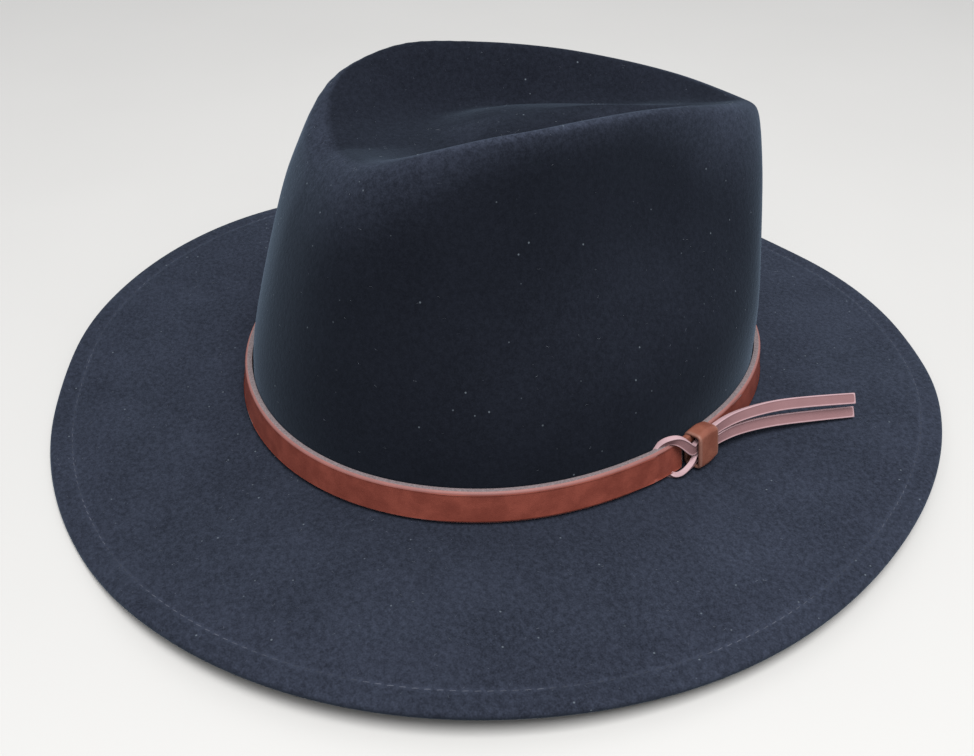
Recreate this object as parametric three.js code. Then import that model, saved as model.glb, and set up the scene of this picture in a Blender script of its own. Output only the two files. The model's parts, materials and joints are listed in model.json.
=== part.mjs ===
// A wool felt hat with a teardrop crown, a wide stitched brim and a knotted leather band.
// Millimetres, +Z up. The front of the hat points along -Y and the wearer's left along +X.
// The origin is at the middle of the hat on the surface that it rests on.
import * as THREE from "three";

// Felt body
const head_length = 199;         // outside of the felt at the band, front to back
const head_width = 171;          // outside of the felt at the band, side to side
const head_taper = 0.12;         // share by which the head oval is narrower towards the front
const crown_height = 122;        // highest crest above the surface
const dent_length = 167;         // front tip to rear end of the teardrop, along its crest
const dent_width = 88;           // widest place of the teardrop, crest to crest
const dent_setback = -9;        // middle of the teardrop from the middle of the head oval
const dent_depth = 20;           // groove below the highest crest
const middle_depth = 13;         // raised middle of the dent below the highest crest
const brim_width = 77;           // widest place of the brim, at the sides
const brim_lift = 7;             // highest place of the brim's edge above the surface
const felt_thickness = 1.8;
const hem_width = 8;             // edge turned under the brim and stitched
const rest_depth = 0.35;         // how far the lowest felt is pressed flat by the surface

// Leather band with its knot
const strap_height = 12;
const strap_thickness = 2.5;
const strap_bevel = 0.6;
const strap_foot = 0.8;          // lower edge of the strap above the felt where the crown starts
const lace_width = 4;
const lace_thickness = 2;
const keeper_length = 10;
const keeper_wall = 2.2;
const knot_angle = 291;          // place of the keeper on the head oval
const upper_loop = 17;           // bare stretch of the upper lace from the strap to the keeper
const lower_loop = 8;            // the same of the lower lace
const tail_reach = 56;           // how far the tails run forward of the keeper
const tail_spread = 24;          // how far their ends stand out from the keeper
const tail_gap = 1.9;            // daylight between the two tails at their ends
const lace_arch = 7.5;           // how far the upper lace arches up before the keeper
const seat_gap = 0.3;            // clearance between leather and felt, and leather and leather

const around = 72;               // facets around the hat

// Crest of the crown, a row for each section from the front round the side to the back. across
// and along place it as shares of half the dent's width and length, height is a share of the
// crown's, round is the half width of the rounded crest as a share of the dent's width, and
// groove is the depth of the groove as a share of the dent's depth.
const crest_sections = [
  { angle: 0, across: 0, along: -1, height: 0.83, round: 0.08, groove: 0.9 },
  { angle: 12, across: 0.17, along: -0.9, height: 0.855, round: 0.08, groove: 0.95 },
  { angle: 25, across: 0.34, along: -0.75, height: 0.89, round: 0.075, groove: 1 },
  { angle: 45, across: 0.56, along: -0.48, height: 0.935, round: 0.065, groove: 1 },
  { angle: 70, across: 0.74, along: -0.2, height: 0.97, round: 0.06, groove: 1 },
  { angle: 95, across: 0.89, along: 0.08, height: 0.99, round: 0.06, groove: 1 },
  { angle: 120, across: 1, along: 0.38, height: 1, round: 0.07, groove: 1 },
  { angle: 145, across: 0.88, along: 0.68, height: 0.965, round: 0.09, groove: 1 },
  { angle: 165, across: 0.44, along: 0.85, height: 0.89, round: 0.12, groove: 1 },
  { angle: 180, across: 0, along: 0.89, height: 0.86, round: 0.13, groove: 1 },
];

// Wall of the crown: the shares of its lean that it has taken up at three heights.
const wall_sections = [
  { angle: 0, low: 0.02, middle: 0.05, high: 0.35 },
  { angle: 12, low: 0.03, middle: 0.15, high: 0.5 },
  { angle: 25, low: 0.06, middle: 0.32, high: 0.7 },
  { angle: 45, low: 0.13, middle: 0.58, high: 0.88 },
  { angle: 70, low: 0.2, middle: 0.7, high: 0.96 },
  { angle: 95, low: 0.23, middle: 0.68, high: 0.95 },
  { angle: 120, low: 0.27, middle: 0.64, high: 0.89 },
  { angle: 145, low: 0.22, middle: 0.52, high: 0.8 },
  { angle: 165, low: 0.18, middle: 0.45, high: 0.74 },
  { angle: 180, low: 0.17, middle: 0.43, high: 0.72 },
];

// Brim, a row for each section: its width, the height of its edge and the height of the felt
// where the crown starts, as shares of brim_width, brim_lift and crown_height.
const brim_sections = [
  { angle: 0, width: 0.928, lift: 0, start: 0.028 },
  { angle: 14, width: 0.928, lift: 0, start: 0.03 },
  { angle: 30, width: 0.933, lift: 0.45, start: 0.038 },
  { angle: 60, width: 0.96, lift: 0.72, start: 0.053 },
  { angle: 90, width: 1, lift: 0.7, start: 0.065 },
  { angle: 120, width: 1.01, lift: 1, start: 0.065 },
  { angle: 150, width: 0.988, lift: 0.65, start: 0.055 },
  { angle: 166, width: 0.965, lift: 0, start: 0.048 },
  { angle: 180, width: 0.96, lift: 0, start: 0.046 },
];

// Bare stretch of each lace, a row for each place between the strap and the keeper: how far
// before the keeper it is, as a share of the stretch, how much of its way out and to its level in
// the keeper it has taken, and how much of lace_arch it has risen.
const upper_places = [
  { before: 0.72, out: 0.6, settled: 0, risen: 0.6 },
  { before: 0.42, out: 1.5, settled: 0.5, risen: 0.6 },
];
const lower_places = [
  { before: 0.6, out: 0.56, settled: 0, risen: 0 },
  { before: 0.35, out: 1.27, settled: 1, risen: 0 },
];

// Stretch of a lace that stays straight at the strap's end and on both sides of the keeper, as
// shares of the lower lace's bare stretch and of keeper_length.
const straight_run = { strap: 0.2, keeper: 0.15 };

// Tail of a lace, a row for each place beyond the keeper: how far it has run and spread, as
// shares of tail_reach and tail_spread, and how much of its way down to the brim it has taken.
const tail_places = [
  { run: 0.22, spread: 0.06, drop: 0.15 },
  { run: 0.55, spread: 0.36, drop: 0.6 },
  { run: 1, spread: 1, drop: 1 },
];

// Places across the brim, as shares of its width, and close to the crown in millimetres.
const brim_rows = { outer: 0.66, inner: 0.33, bend: 6, corner: 1.6 };

// Levels of the wall's stations, as shares of its height.
const wall_rows = { foot: 0.03, band: 0.16, low: 0.36, middle: 0.62, high: 0.86 };

const band_lean = 0.02;          // share of the wall's lean taken up under the band

// The rounded crest's outer side, as shares of its half width.
const shoulder_out = 0.85;
const shoulder_down = 0.55;

// Places in the dent, as shares of the way from the crest to its middle.
const dent_rows = { shoulder: 0.14, groove: 0.42, rise: 0.7, middle: 0.95 };

// Slope of one column of a table at a row, level wherever the column turns back.
function slope_at(rows, column, index) {
  if (index === 0 || index === rows.length - 1) return 0;
  const before = (rows[index][column] - rows[index - 1][column])
    / (rows[index].angle - rows[index - 1].angle);
  const after = (rows[index + 1][column] - rows[index][column])
    / (rows[index + 1].angle - rows[index].angle);
  if (before * after <= 0) return 0;
  return (2 * before * after) / (before + after);
}

// One column of a table at any angle, with both sides of the hat alike.
function share_at(rows, column, angle) {
  const side = Math.abs(THREE.MathUtils.euclideanModulo(angle + 180, 360) - 180);
  let index = 0;
  while (index < rows.length - 2 && side > rows[index + 1].angle) index += 1;
  const span = rows[index + 1].angle - rows[index].angle;
  const t = (side - rows[index].angle) / span;
  const step = rows[index + 1][column] - rows[index][column];
  const leave = slope_at(rows, column, index) * span;
  const arrive = slope_at(rows, column, index + 1) * span;
  return rows[index][column] + t * (leave + t * (3 * step - 2 * leave - arrive
    + t * (leave + arrive - 2 * step)));
}

// The head oval at an angle, with its outward direction.
function head_place(angle) {
  const turn = THREE.MathUtils.degToRad(angle);
  const across = (head_width / 2) * Math.sin(turn) * (1 - head_taper * Math.cos(turn));
  const along = -(head_length / 2) * Math.cos(turn);
  const across_rate = (head_width / 2) * (Math.cos(turn) - head_taper * Math.cos(2 * turn));
  const along_rate = (head_length / 2) * Math.sin(turn);
  const outward = new THREE.Vector3(along_rate, -across_rate, 0).normalize();
  return { point: new THREE.Vector3(across, along, 0), outward };
}

// Height of the brim's upper side at a distance outside the head oval.
function brim_top(angle, outset) {
  const width = brim_width * share_at(brim_sections, "width", angle);
  const edge = brim_lift * share_at(brim_sections, "lift", angle) + 2 * felt_thickness;
  const start = crown_height * share_at(brim_sections, "start", angle);
  const rest = Math.max(0, 1 - outset / (width - hem_width));
  return edge - rest_depth + (start - edge) * rest ** 1.6;
}

// A place on the brim's upper side.
function brim_place(angle, outset) {
  const { point, outward } = head_place(angle);
  return point.addScaledVector(outward, outset).setZ(brim_top(angle, outset));
}

// Height of the brim's upper side under a place outside the crown.
function brim_under(place) {
  let nearest = { miss: Infinity };
  for (let angle = 0; angle < 360; angle += 1) {
    const { point, outward } = head_place(angle);
    const away = place.clone().sub(point).setZ(0);
    const outset = away.dot(outward);
    const miss = away.addScaledVector(outward, -outset).length();
    if (outset > 0 && miss < nearest.miss) nearest = { miss, angle, outset };
  }
  return brim_top(nearest.angle, nearest.outset);
}

// The crest of the crown at an angle.
function crest_place(angle) {
  const side = Math.sign(Math.sin(THREE.MathUtils.degToRad(angle)));
  return new THREE.Vector3(
    side * (dent_width / 2) * share_at(crest_sections, "across", angle),
    dent_setback + (dent_length / 2) * share_at(crest_sections, "along", angle),
    crown_height * share_at(crest_sections, "height", angle),
  );
}

// Stations of the felt's outer side at an angle: a place and the number of facets from there to
// the next station. The brim's run from its edge to the foot of the crown.
function brim_stations(angle) {
  const width = brim_width * share_at(brim_sections, "width", angle);
  const foot = brim_top(angle, 0);
  return [
    [brim_place(angle, width - felt_thickness), 1],
    [brim_place(angle, width - hem_width), 1],
    [brim_place(angle, width - hem_width - felt_thickness), 1],
    [brim_place(angle, width * brim_rows.outer), 2],
    [brim_place(angle, width * brim_rows.inner), 2],
    [brim_place(angle, brim_rows.bend), 1],
    [brim_place(angle, brim_rows.corner).setZ(foot + brim_rows.corner / 4), 1],
  ];
}

// The crown's stations run from its foot over the crest to the middle of the dent.
function crown_stations(angle) {
  const foot = brim_place(angle, 0);
  const crest = crest_place(angle);
  const round = dent_width * share_at(crest_sections, "round", angle);
  const lean = foot.clone().sub(crest).setZ(0).normalize();
  const shoulder = crest.clone().addScaledVector(lean, round * shoulder_out);
  shoulder.z -= round * shoulder_down;
  const middle = new THREE.Vector3(0, dent_setback, crown_height - middle_depth);
  const inward = middle.clone().sub(crest).setZ(0);
  const groove = crown_height - dent_depth * share_at(crest_sections, "groove", angle);
  const wall = (height, share) => foot.clone().lerp(shoulder, share)
    .setZ(THREE.MathUtils.lerp(foot.z, shoulder.z, height));
  const dent = (share, height) => crest.clone().addScaledVector(inward, share).setZ(height);
  return [
    [wall(wall_rows.foot, 0), 1],
    [wall(wall_rows.band, band_lean), 2],
    [wall(wall_rows.low, share_at(wall_sections, "low", angle)), 2],
    [wall(wall_rows.middle, share_at(wall_sections, "middle", angle)), 2],
    [wall(wall_rows.high, share_at(wall_sections, "high", angle)), 1],
    [shoulder, 2],
    [crest, 2],
    [dent(dent_rows.shoulder, THREE.MathUtils.lerp(crest.z, groove, 2 * dent_rows.shoulder)), 2],
    [dent(dent_rows.groove, groove), 2],
    [dent(dent_rows.rise, THREE.MathUtils.lerp(groove, middle.z, dent_rows.rise)), 2],
    [dent(dent_rows.middle, middle.z), 0],
  ];
}

// Both as one smooth curve, cut into the corners of its facets.
function felt_section(angle) {
  const stations = [...brim_stations(angle), ...crown_stations(angle)];
  const curve = new THREE.CatmullRomCurve3(stations.map(([place]) => place), false, "centripetal");
  const corners = [];
  stations.forEach(([place, facets], index) => {
    for (let facet = 0; facet < facets; facet += 1) {
      corners.push(curve.getPoint((index + facet / facets) / (stations.length - 1)));
    }
    if (facets === 0) corners.push(place);
  });
  return corners;
}

// A closed body through rings of corners. Open ends are closed by a fan from their middle.
function skin(rings, joined = false) {
  const count = rings[0].length;
  const corners = rings.flat();
  const faces = [];
  const spans = joined ? rings.length : rings.length - 1;
  for (let ring = 0; ring < spans; ring += 1) {
    for (let corner = 0; corner < count; corner += 1) {
      const here = ring * count;
      const next = ((ring + 1) % rings.length) * count;
      const beside = (corner + 1) % count;
      faces.push(here + corner, next + corner, here + beside);
      faces.push(here + beside, next + corner, next + beside);
    }
  }
  if (!joined) {
    const last = (rings.length - 1) * count;
    const middle_of = (ring) => ring.reduce((sum, corner) => sum.add(corner), new THREE.Vector3())
      .divideScalar(count);
    corners.push(middle_of(rings[0]), middle_of(rings.at(-1)));
    for (let corner = 0; corner < count; corner += 1) {
      const beside = (corner + 1) % count;
      faces.push(corners.length - 2, corner, beside);
      faces.push(corners.length - 1, last + beside, last + corner);
    }
  }
  const geometry = new THREE.BufferGeometry().setFromPoints(corners);
  geometry.setIndex(faces);
  geometry.computeVertexNormals();
  return geometry;
}

// Crown and brim: the outer side from the middle of the dent to the brim's edge, the rounded
// edge, the hem turned under it, and the inner side back to the middle.
function felt_body() {
  const angles = Array.from({ length: around }, (_, step) => (360 * step) / around);
  const sections = angles.map(felt_section);
  const outer = sections[0].map((_, row) => sections.map((section) => section[row]));
  const normals = outer.map((ring, row) => ring.map((_, step) => {
    const along = outer[Math.max(row - 1, 0)][step].clone()
      .sub(outer[Math.min(row + 1, outer.length - 1)][step]);
    const about = ring[(step + 1) % around].clone().sub(ring[(step + around - 1) % around]);
    return along.cross(about).normalize();
  }));
  const hem_rows = 2;
  const pressed = (corner) => corner.setZ(Math.max(corner.z, 0));
  const inner = outer.map((ring, row) => ring.map((corner, step) => {
    if (row < hem_rows) return pressed(corner.clone().setZ(corner.z - 2 * felt_thickness));
    return pressed(corner.clone().addScaledVector(normals[row][step], -felt_thickness));
  }));
  const edge = [45, 90, 135].map((turn) => outer[0].map((corner, step) => {
    const { outward } = head_place(angles[step]);
    const bend = THREE.MathUtils.degToRad(turn);
    const place = corner.clone().addScaledVector(outward, felt_thickness * Math.sin(bend));
    return pressed(place.setZ(corner.z - felt_thickness * (1 - Math.cos(bend))));
  }));
  return skin([...outer.toReversed(), ...edge, ...inner]);
}

// The crown's outer side at a height above its foot.
function wall_place(angle, height) {
  const level = brim_top(angle, 0) + height;
  const on_brim = brim_stations(angle).reduce((sum, [, facets]) => sum + facets, 0);
  const wall = felt_section(angle).slice(on_brim - 1);
  const above = wall.findIndex((corner) => corner.z > level);
  const low = wall[above - 1];
  const high = wall[above];
  return low.clone().lerp(high, (level - low.z) / (high.z - low.z));
}

// Frame of the strap at an angle: the lower edge of its inner side, with the directions out from
// the crown, up along it and forward round it.
function strap_frame(angle) {
  const { outward } = head_place(angle);
  const low = wall_place(angle, strap_foot);
  const high = wall_place(angle, strap_foot + strap_height);
  const up = high.clone().sub(low).projectOnPlane(outward.clone().cross(new THREE.Vector3(0, 0, 1)))
    .normalize();
  const forward = new THREE.Vector3(0, 0, 1).cross(outward).normalize();
  const out = forward.clone().cross(up).normalize();
  return { origin: low.addScaledVector(out, seat_gap), out, up, forward };
}

// Angle of the head oval at a distance along it from another angle, forward being positive.
function angle_along(angle, distance) {
  const turn = THREE.MathUtils.degToRad(angle);
  const across_rate = (head_width / 2) * (Math.cos(turn) - head_taper * Math.cos(2 * turn));
  const along_rate = (head_length / 2) * Math.sin(turn);
  return angle + THREE.MathUtils.radToDeg(distance / Math.hypot(across_rate, along_rate));
}

// Height of a lace's middle line above the strap's lower edge, where it leaves the strap. level
// is 1 for the upper lace and -1 for the lower one.
function root_height(level) {
  return (strap_height + level * (strap_height - lace_width - strap_bevel)) / 2;
}

// Angle of the strap's frame where a lace leaves it.
function root_angle(loop) {
  return angle_along(knot_angle, -keeper_length / 2 - loop);
}

// The strap, from its end before the knot round the back of the hat to its end behind the knot.
// Its upper part ends first, where the upper lace leaves it.
function hatband() {
  const start = angle_along(knot_angle, keeper_length / 2 + seat_gap) - 360;
  const split = root_angle(upper_loop);
  const end = root_angle(lower_loop);
  const low_height = root_height(1) - lace_width / 2 - seat_gap;
  const ring = (angle, height) => {
    const { origin, out, up } = strap_frame(angle);
    const corner = (thickness, level) => origin.clone().addScaledVector(out, thickness)
      .addScaledVector(up, level);
    return [
      corner(0, 0),
      corner(strap_thickness - strap_bevel, 0),
      corner(strap_thickness, strap_bevel),
      corner(strap_thickness, height - strap_bevel),
      corner(strap_thickness - strap_bevel, height),
      corner(0, height),
    ];
  };
  const whole = Array.from({ length: around + 1 }, (_, step) => (
    ring(start + ((split - start) * step) / around, strap_height)));
  const low = [angle_along(split, seat_gap), end].map((angle) => ring(angle, low_height));
  return skin([...whole, ...low]);
}

// Corners of the keeper cut off, as shares of its wall outside and of the clearance inside.
const keeper_corner = { outside: 0.7, inside: 0.3 };

// Half the keeper's height, which takes both laces side by side.
const keeper_half_height = keeper_wall + lace_width + 1.5 * seat_gap;

// Frame of the knot: the middle of the keeper's inner side against the crown. The keeper stands
// level with the strap's lower edge.
function knot_frame() {
  const frame = strap_frame(knot_angle);
  frame.origin.addScaledVector(frame.up, keeper_half_height);
  return frame;
}

// The keeper, a flat wrap that the two laces pass through side by side.
function band_keeper() {
  const { origin, out, up, forward } = knot_frame();
  const deep = 2 * keeper_wall + lace_thickness + 2 * seat_gap;
  const loop = (inset, run) => {
    const cut = inset > 0 ? keeper_corner.inside * seat_gap : keeper_corner.outside * keeper_wall;
    const low = inset;
    const high = deep - inset;
    const top = keeper_half_height - inset;
    return [
      [low + cut, -top], [high - cut, -top], [high, cut - top], [high, top - cut],
      [high - cut, top], [low + cut, top], [low, top - cut], [low, cut - top],
    ].map(([depth, height]) => origin.clone().addScaledVector(out, depth)
      .addScaledVector(up, height).addScaledVector(forward, run));
  };
  const half = keeper_length / 2;
  const rings = [
    loop(0, -half), loop(0, half), loop(keeper_wall, half), loop(keeper_wall, -half),
  ];
  return skin(rings, true);
}

// One lace: a flat strip from the strap's end through the keeper and out as a tail.
function lace(level) {
  const { origin, out, up, forward } = knot_frame();
  const half = keeper_length / 2;
  const in_strap = strap_thickness / 2;
  const in_keeper = keeper_wall + seat_gap + lace_thickness / 2;
  const level_height = level * (lace_width + seat_gap) / 2;
  const at = (run, depth, height) => origin.clone().addScaledVector(forward, run)
    .addScaledVector(out, depth).addScaledVector(up, height);
  const stacked = ((level + 1) / 2) * (lace_width + tail_gap);
  const loop = level > 0 ? upper_loop : lower_loop;
  const places = level > 0 ? upper_places : lower_places;
  const leaving = root_height(level);
  const strap_end = strap_frame(root_angle(loop));
  const root = (run) => strap_end.origin.clone().addScaledVector(strap_end.forward, run)
    .addScaledVector(strap_end.out, in_strap).addScaledVector(strap_end.up, leaving);
  const straight = straight_run.keeper * keeper_length;
  const route = [
    root(3 * seat_gap),
    root(straight_run.strap * lower_loop),
    ...places.map((place) => at(
      -half - place.before * loop,
      THREE.MathUtils.lerp(in_strap, in_keeper, place.out),
      THREE.MathUtils.lerp(leaving - keeper_half_height, level_height, place.settled)
        + lace_arch * place.risen,
    )),
    at(-half - straight, in_keeper, level_height),
    at(-half, in_keeper, level_height),
    at(half, in_keeper, level_height),
    at(half + straight, in_keeper, level_height),
    ...tail_places.map(({ run, spread, drop }) => {
      const place = at(half + run * tail_reach, in_keeper + spread * tail_spread, level_height);
      const lying = brim_under(place) + seat_gap + lace_width / 2 + stacked;
      return place.setZ(THREE.MathUtils.lerp(place.z, lying, drop));
    }),
  ];
  const curve = new THREE.CatmullRomCurve3(route, false, "centripetal");
  const steps = 4 * (route.length - 1);
  const rings = Array.from({ length: steps + 1 }, (_, step) => {
    const place = curve.getPoint(step / steps);
    const tangent = curve.getTangent(step / steps);
    const thick = tangent.clone().cross(up).normalize();
    const wide = thick.clone().cross(tangent).normalize();
    return [[-1, -1], [1, -1], [1, 1], [-1, 1]].map(([side, edge]) => place.clone()
      .addScaledVector(thick, (side * lace_thickness) / 2)
      .addScaledVector(wide, (edge * lace_width) / 2));
  });
  return skin(rings);
}

const felt = new THREE.MeshStandardMaterial({ color: 0x14171d, roughness: 0.95, metalness: 0 });
const leather = new THREE.MeshStandardMaterial({ color: 0x8a4f3c, roughness: 0.5, metalness: 0 });

const pieces = [
  ["felt_body", felt_body(), felt],
  ["hatband", hatband(), leather],
  ["band_keeper", band_keeper(), leather],
  ["lace_upper", lace(1), leather],
  ["lace_lower", lace(-1), leather],
];
const brim_share = (angle) => share_at(brim_sections, "width", angle);
const hat = new THREE.Group();
hat.position.y = (brim_width * (brim_share(0) - brim_share(180))) / 2;
for (const [name, geometry, material] of pieces) {
  const piece = new THREE.Mesh(geometry, material);
  piece.name = name;
  hat.add(piece);
}

export default hat;
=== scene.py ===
"""A wool felt hat with a teardrop crown and a knotted leather band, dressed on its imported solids.

Lengths are metres in the hat's own frame: +Z up, the front of the hat along -Y and the wearer's
left along +X. The felt, the strap, the keeper and the laces each stand for the solid of the same
name, and the stitches and the lint lie on the finished felt.
"""

import json
import logging
import math
import random
from collections.abc import Callable, Iterable
from dataclasses import dataclass
from enum import Enum

import bmesh
import bpy
import numpy as np
from mathutils import Matrix, Vector
from mathutils.bvhtree import BVHTree

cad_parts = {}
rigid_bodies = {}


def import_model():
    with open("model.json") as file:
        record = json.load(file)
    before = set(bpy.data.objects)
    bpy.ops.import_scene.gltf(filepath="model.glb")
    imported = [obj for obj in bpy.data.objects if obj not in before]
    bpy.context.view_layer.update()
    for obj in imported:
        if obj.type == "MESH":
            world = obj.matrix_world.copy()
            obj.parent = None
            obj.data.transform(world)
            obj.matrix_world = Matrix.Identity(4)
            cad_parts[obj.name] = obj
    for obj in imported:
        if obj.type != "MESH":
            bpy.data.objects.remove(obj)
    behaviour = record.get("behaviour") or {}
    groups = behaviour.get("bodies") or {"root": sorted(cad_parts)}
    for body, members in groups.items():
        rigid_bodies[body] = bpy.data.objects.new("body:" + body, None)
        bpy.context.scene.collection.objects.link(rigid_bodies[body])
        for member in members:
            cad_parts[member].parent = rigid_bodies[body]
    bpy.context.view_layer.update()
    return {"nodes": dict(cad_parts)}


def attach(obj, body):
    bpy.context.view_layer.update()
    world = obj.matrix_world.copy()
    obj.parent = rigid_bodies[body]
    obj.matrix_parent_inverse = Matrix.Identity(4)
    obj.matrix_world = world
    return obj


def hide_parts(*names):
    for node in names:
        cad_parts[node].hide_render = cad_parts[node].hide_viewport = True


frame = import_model()

MM = 0.001
UP = Vector((0, 0, 1))
MERGE = 1e-6
log = logging.getLogger("felt_hat")


class Kind(Enum):
    """The kinds of mesh element that can be selected."""

    VERT = "verts"
    EDGE = "edges"
    FACE = "faces"


class Level(Enum):
    """The two laces, by their place in the keeper."""

    UPPER = "upper"
    LOWER = "lower"


# Mesh tools


def pick(piece: bpy.types.Object) -> None:
    """Leaves one piece selected and active."""
    bpy.ops.object.select_all(action="DESELECT")
    piece.select_set(True)
    bpy.context.view_layer.objects.active = piece


class Editing:
    """Edit mode on one piece, with its elements selected by a test."""

    def __init__(self, piece: bpy.types.Object) -> None:
        """Keeps the piece that is edited."""
        self.piece = piece

    def __enter__(self) -> "Editing":
        """Opens edit mode with nothing selected."""
        pick(self.piece)
        bpy.ops.object.mode_set(mode="EDIT")
        bpy.ops.mesh.select_all(action="DESELECT")
        return self

    def __exit__(self, *_: object) -> None:
        """Goes back to object mode."""
        bpy.ops.object.mode_set(mode="OBJECT")

    def select(self, kind: Kind, test: Callable[[object], bool]) -> int:
        """Selects the elements for which a test holds, and nothing else.

        Args:
            kind: the kind of element that is tested.
            test: takes a corner, an edge or a face.

        Returns:
            The number of elements that were selected.
        """
        bpy.ops.mesh.select_mode(type=kind.name)
        bpy.ops.mesh.select_all(action="DESELECT")
        shape = bmesh.from_edit_mesh(self.piece.data)
        shape.normal_update()
        chosen = [element for element in getattr(shape, kind.value) if test(element)]
        for element in chosen:
            element.select_set(True)
        shape.select_flush_mode()
        bmesh.update_edit_mesh(self.piece.data)
        return len(chosen)

    def mark(self, name: str, value: float) -> None:
        """Writes a value into a named attribute of the selected corners."""
        shape = bmesh.from_edit_mesh(self.piece.data)
        layer = shape.verts.layers.float.get(name) or shape.verts.layers.float.new(name)
        for corner in shape.verts:
            if corner.select:
                corner[layer] = value
        bmesh.update_edit_mesh(self.piece.data)


def solid_copy(node: str, name: str) -> bpy.types.Object:
    """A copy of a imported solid, merged and joined into four-sided faces.

    Args:
        node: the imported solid.
        name: the name of the new piece.

    Returns:
        The new piece, at the origin.
    """
    piece = bpy.data.objects.new(name, frame["nodes"][node].data.copy())
    bpy.context.scene.collection.objects.link(piece)
    piece.data.materials.clear()
    with Editing(piece):
        bpy.ops.mesh.select_all(action="SELECT")
        bpy.ops.mesh.remove_doubles(threshold=MERGE)
        bpy.ops.mesh.tris_convert_to_quads(
            face_threshold=math.radians(60), shape_threshold=math.radians(60)
        )
        bpy.ops.mesh.customdata_custom_splitnormals_clear()
    return piece


def subdivide_smoothly(piece: bpy.types.Object, levels: int) -> None:
    """Adds a Subdivision Surface and applies it."""
    pick(piece)
    smooth = piece.modifiers.new("smooth", "SUBSURF")
    smooth.levels = levels
    smooth.render_levels = levels
    bpy.ops.object.modifier_apply(modifier=smooth.name)
    bpy.ops.object.shade_smooth()


def settle(piece: bpy.types.Object, slot: str, *nodes: str) -> None:
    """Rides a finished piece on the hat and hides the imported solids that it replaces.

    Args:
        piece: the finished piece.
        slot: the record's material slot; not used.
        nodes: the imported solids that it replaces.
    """
    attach(piece, "root")
    if nodes:
        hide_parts(*nodes)
    triangles = sum(len(face.vertices) - 2 for face in piece.data.polygons)
    log.info("%s: %d triangles", piece.name, triangles)


def joined_copies(model: bpy.types.Object, places: list[Matrix], name: str) -> bpy.types.Object:
    """One piece that holds a copy of a small model at each place.

    Args:
        model: the small model, which is removed.
        places: the matrix of each copy.
        name: the name of the new piece.

    Returns:
        The new piece, at the origin.
    """
    corners = np.array([corner.co for corner in model.data.vertices])
    faces = [tuple(face.vertices) for face in model.data.polygons]
    every_corner = []
    every_face = []
    for index, place in enumerate(places):
        turned = corners @ np.array(place.to_3x3()).T + np.array(place.translation)
        every_corner.extend(turned.tolist())
        first = index * len(corners)
        every_face.extend([tuple(first + corner for corner in face) for face in faces])
    mesh = bpy.data.meshes.new(name)
    mesh.from_pydata(every_corner, [], every_face)
    piece = bpy.data.objects.new(name, mesh)
    bpy.context.scene.collection.objects.link(piece)
    bpy.data.objects.remove(model)
    pick(piece)
    bpy.ops.object.shade_smooth()
    return piece


class Line:
    """A line of straight pieces that is walked by its length."""

    def __init__(self, places: list[Vector]) -> None:
        """Measures how far along the line each of its places is."""
        self.places = places
        self.runs = [0.0]
        for start, end in zip(places, places[1:]):
            self.runs.append(self.runs[-1] + (end - start).length)
        self.length = self.runs[-1]

    def find(self, run: float) -> tuple[int, float]:
        """The straight piece at a distance along the line, and the share of it that is passed."""
        run = min(max(run, 0), self.length)
        index = min(max(int(np.searchsorted(self.runs, run)) - 1, 0), len(self.places) - 2)
        return index, (run - self.runs[index]) / (self.runs[index + 1] - self.runs[index])

    def ahead(self, index: int) -> Vector:
        """The direction of the line at one of its places."""
        last = len(self.places) - 1
        return (self.places[min(index + 1, last)] - self.places[max(index - 1, 0)]).normalized()


# Materials


class Wire:
    """A shader socket that can be used in arithmetic."""

    def __init__(self, paint: "Paint", socket: bpy.types.NodeSocket) -> None:
        """Keeps the material and the socket."""
        self.paint = paint
        self.socket = socket

    def _math(self, operation: str, first: object, second: object) -> "Wire":
        """Adds a Math node for one operation on two values or wires."""
        return self.paint.node("ShaderNodeMath", {"operation": operation}, {0: first, 1: second})

    def __add__(self, other: object) -> "Wire":
        """The sum with a value or wire."""
        return self._math("ADD", self, other)

    def __radd__(self, other: object) -> "Wire":
        """The sum with a value on the left."""
        return self._math("ADD", other, self)

    def __sub__(self, other: object) -> "Wire":
        """The difference to a value or wire."""
        return self._math("SUBTRACT", self, other)

    def __rsub__(self, other: object) -> "Wire":
        """The difference from a value on the left."""
        return self._math("SUBTRACT", other, self)

    def __mul__(self, other: object) -> "Wire":
        """The product with a value or wire."""
        return self._math("MULTIPLY", self, other)

    def between(self, low: float, high: float) -> "Wire":
        """How far the value is from low to high, from 0 to 1, with soft ends."""
        return self.paint.node(
            "ShaderNodeMapRange",
            {"interpolation_type": "SMOOTHSTEP"},
            {"Value": self, "From Min": low, "From Max": high},
        )


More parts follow.
